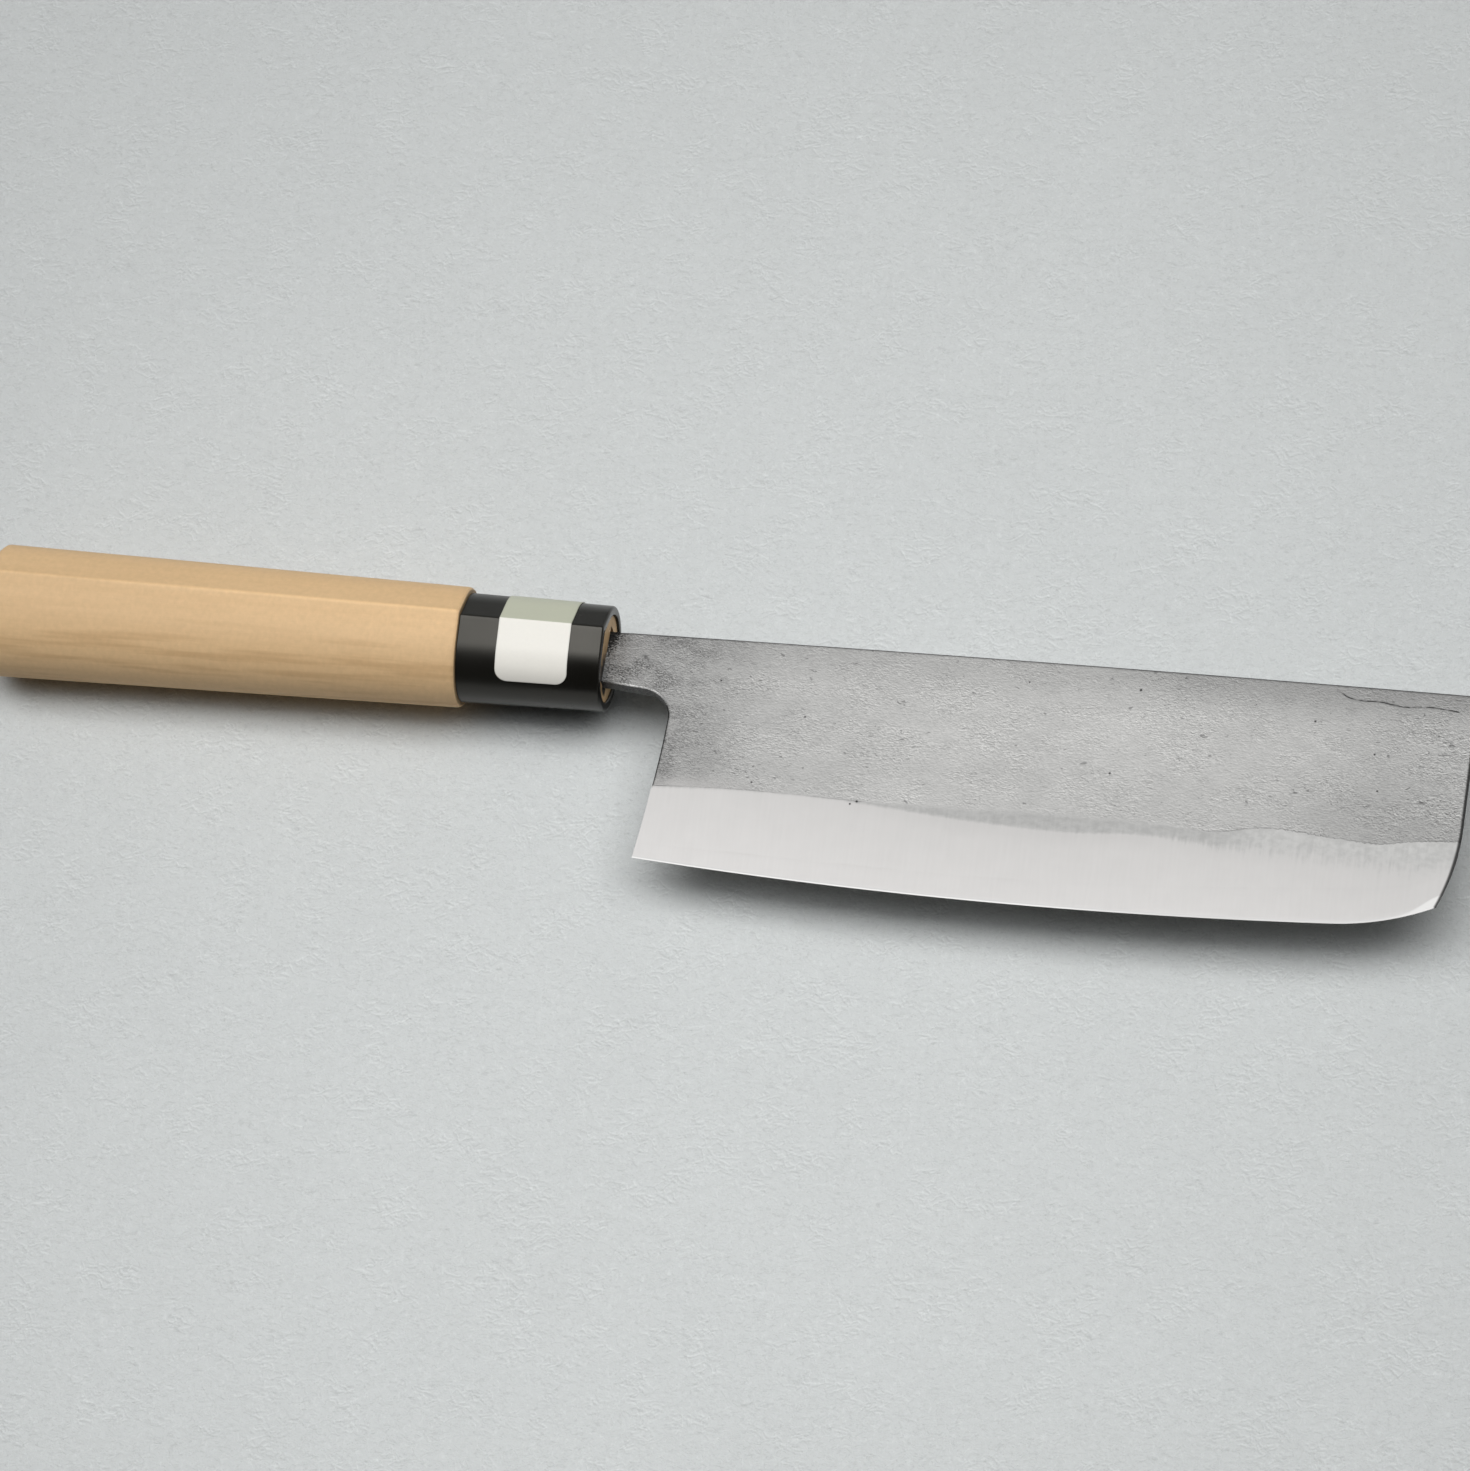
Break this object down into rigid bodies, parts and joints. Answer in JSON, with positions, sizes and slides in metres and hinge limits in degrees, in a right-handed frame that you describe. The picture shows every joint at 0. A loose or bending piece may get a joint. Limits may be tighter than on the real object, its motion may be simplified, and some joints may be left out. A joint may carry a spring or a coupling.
{
  "type": "nakiri knife",
  "caption": "Vegetable knife with a tall straight-edged laminated blade, ground bevels, a black ferrule and a wooden handle of chestnut section.",
  "frame": {"origin": "on the table under the middle of the knife's box, with the blade level and the handle's left side down", "axes": "+X from the butt to the front of the blade, +Y from the cutting edge to the spine, +Z out of the blade's right face"},
  "size_m": [0.3096, 0.0608, 0.0254],
  "materials": {
    "core_steel": "satin ground",
    "cladding": "rough forged above the grind, satin ground below it",
    "grip_wood": "bare, fine sanded",
    "ferrule_black": "polished",
    "label_paper": "smooth, blank"
  },
  "bodies": {
    "root": {"core_steel": "core_steel", "right_cladding": "cladding", "left_cladding": "cladding", "handle_grip": "grip_wood", "ferrule": "ferrule_black", "label": "label_paper"}
  },
  "joints": []
}
